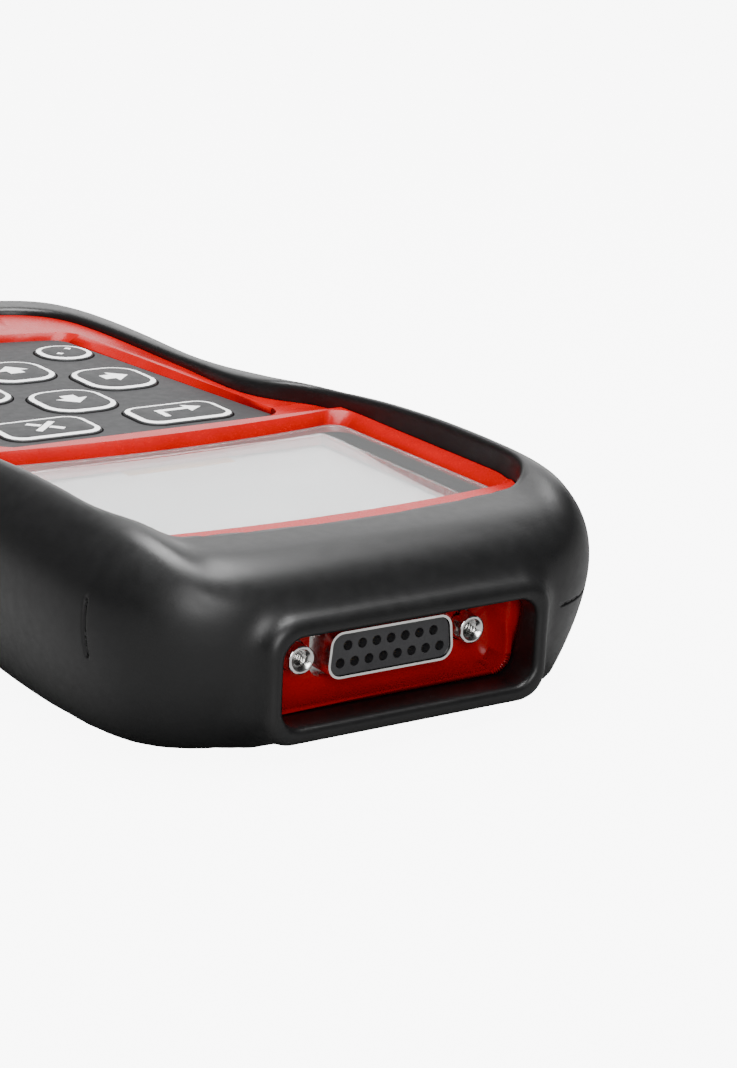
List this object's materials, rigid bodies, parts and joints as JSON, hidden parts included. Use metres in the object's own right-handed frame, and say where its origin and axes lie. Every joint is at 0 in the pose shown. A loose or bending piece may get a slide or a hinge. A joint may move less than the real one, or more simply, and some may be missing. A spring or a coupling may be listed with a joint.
{
  "type": "obd code reader",
  "caption": "Handheld vehicle diagnostic code reader in a rubber boot, with a screen, a keypad of pressing keys and a D-sub cable socket.",
  "frame": {"origin": "centre of the bounding box footprint, on the back face the reader lies on", "axes": "+Z out of the screen, +Y along the reader towards the cable socket, +X to the user's right"},
  "size_m": [0.1002, 0.2001, 0.037],
  "materials": {
    "boot": "soft satin",
    "front_shell": "gloss",
    "rear_shell": "gloss",
    "screen_lens": "gloss",
    "keypad_panel": "satin",
    "connector_shell": "satin",
    "connector_insulator": "matt",
    "jack_nuts": "polished",
    "lens_tape": "matt",
    "lcd_frame": "matt",
    "lcd_backlight": "satin",
    "lcd_glass": "gloss",
    "lcd_flex": "satin",
    "flex_socket": "matt",
    "snap_domes": "satin",
    "display_board": "satin",
    "main_board": "satin",
    "board_socket": "matt",
    "board_header": "satin",
    "connector_bracket": "satin",
    "connector_contacts": "satin",
    "controller_chip": "matt",
    "memory_chips": "matt",
    "transceiver_chips": "matt",
    "crystal": "satin",
    "regulator": "matt",
    "capacitors": "satin",
    "buzzer": "matt",
    "small_passives": "satin",
    "main_board_screws": "satin",
    "display_board_screws": "satin",
    "housing_screws": "satin",
    "rating_plate": "matt",
    "key_enter": "satin",
    "key_back": "satin",
    "key_up": "satin",
    "key_left": "satin",
    "key_right": "satin",
    "key_down": "satin",
    "key_status": "satin",
    "key_help": "satin"
  },
  "bodies": {
    "housing": {"boot": "boot", "front_shell": "front_shell", "rear_shell": "rear_shell", "screen_lens": "screen_lens", "keypad_panel": "keypad_panel", "connector_shell": "connector_shell", "connector_insulator": "connector_insulator", "jack_nuts": "jack_nuts", "lens_tape": "lens_tape", "lcd_frame": "lcd_frame", "lcd_backlight": "lcd_backlight", "lcd_glass": "lcd_glass", "lcd_flex": "lcd_flex", "flex_socket": "flex_socket", "snap_domes": "snap_domes", "display_board": "display_board", "main_board": "main_board", "board_socket": "board_socket", "board_header": "board_header", "connector_bracket": "connector_bracket", "connector_contacts": "connector_contacts", "controller_chip": "controller_chip", "memory_chips": "memory_chips", "transceiver_chips": "transceiver_chips", "crystal": "crystal", "regulator": "regulator", "capacitors": "capacitors", "buzzer": "buzzer", "small_passives": "small_passives", "main_board_screws": "main_board_screws", "display_board_screws": "display_board_screws", "housing_screws": "housing_screws", "rating_plate": "rating_plate"},
    "key_enter": {"key_enter": "key_enter"},
    "key_back": {"key_back": "key_back"},
    "key_up": {"key_up": "key_up"},
    "key_left": {"key_left": "key_left"},
    "key_right": {"key_right": "key_right"},
    "key_down": {"key_down": "key_down"},
    "key_status": {"key_status": "key_status"},
    "key_help": {"key_help": "key_help"}
  },
  "joints": [
    {"name": "key_enter_press", "type": "slide", "parent": "housing", "child": "key_enter", "axis": [0, 0, 1], "range_m": [-0.0004, 0], "stiffness_N_per_m": 500, "springref_m": 0.0003},
    {"name": "key_back_press", "type": "slide", "parent": "housing", "child": "key_back", "axis": [0, 0, 1], "range_m": [-0.0004, 0], "stiffness_N_per_m": 500, "springref_m": 0.0003},
    {"name": "key_up_press", "type": "slide", "parent": "housing", "child": "key_up", "axis": [0, 0, 1], "range_m": [-0.0004, 0], "stiffness_N_per_m": 500, "springref_m": 0.0003},
    {"name": "key_left_press", "type": "slide", "parent": "housing", "child": "key_left", "axis": [0, 0, 1], "range_m": [-0.0004, 0], "stiffness_N_per_m": 500, "springref_m": 0.0003},
    {"name": "key_right_press", "type": "slide", "parent": "housing", "child": "key_right", "axis": [0, 0, 1], "range_m": [-0.0004, 0], "stiffness_N_per_m": 500, "springref_m": 0.0003},
    {"name": "key_down_press", "type": "slide", "parent": "housing", "child": "key_down", "axis": [0, 0, 1], "range_m": [-0.0004, 0], "stiffness_N_per_m": 500, "springref_m": 0.0003},
    {"name": "key_status_press", "type": "slide", "parent": "housing", "child": "key_status", "axis": [0, 0, 1], "range_m": [-0.0004, 0], "stiffness_N_per_m": 500, "springref_m": 0.0003},
    {"name": "key_help_press", "type": "slide", "parent": "housing", "child": "key_help", "axis": [0, 0, 1], "range_m": [-0.0004, 0], "stiffness_N_per_m": 500, "springref_m": 0.0003}
  ]
}
